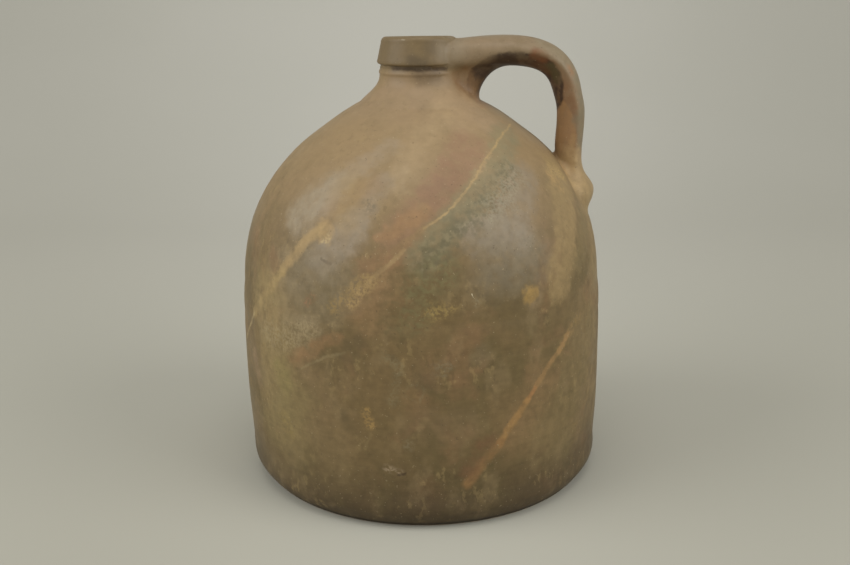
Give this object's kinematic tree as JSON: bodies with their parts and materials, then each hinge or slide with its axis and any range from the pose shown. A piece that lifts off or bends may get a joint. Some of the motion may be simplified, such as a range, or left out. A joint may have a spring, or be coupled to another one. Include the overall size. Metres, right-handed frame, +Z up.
{
  "type": "jug",
  "caption": "Wheel-thrown stoneware jug with a narrow collared mouth and a strap handle from the collar to the shoulder.",
  "frame": {"origin": "centre of the flat foot, on the surface that the jug stands on", "axes": "+Z up along the turning axis, +X towards the handle"},
  "size_m": [0.198, 0.198, 0.2365],
  "materials": {
    "wall_slip": "satin brown slip over stoneware, clouded olive and ochre, darker at the foot",
    "shoulder_slip": "satin brown slip over stoneware, streaked ochre, red-brown and grey-green",
    "collar_slip": "satin olive-brown slip over stoneware",
    "strap_slip": "satin red-brown slip over stoneware, grey-green on its outer face",
    "lining_glaze": "glossy dark brown glaze"
  },
  "bodies": {
    "root": {"lower_section": "wall_slip", "shoulder_section": "shoulder_slip", "lip_collar": "collar_slip", "handle_strap": "strap_slip", "upper_luting_wad": "strap_slip", "lower_luting_pad": "shoulder_slip", "inner_glaze": "lining_glaze"}
  },
  "joints": []
}
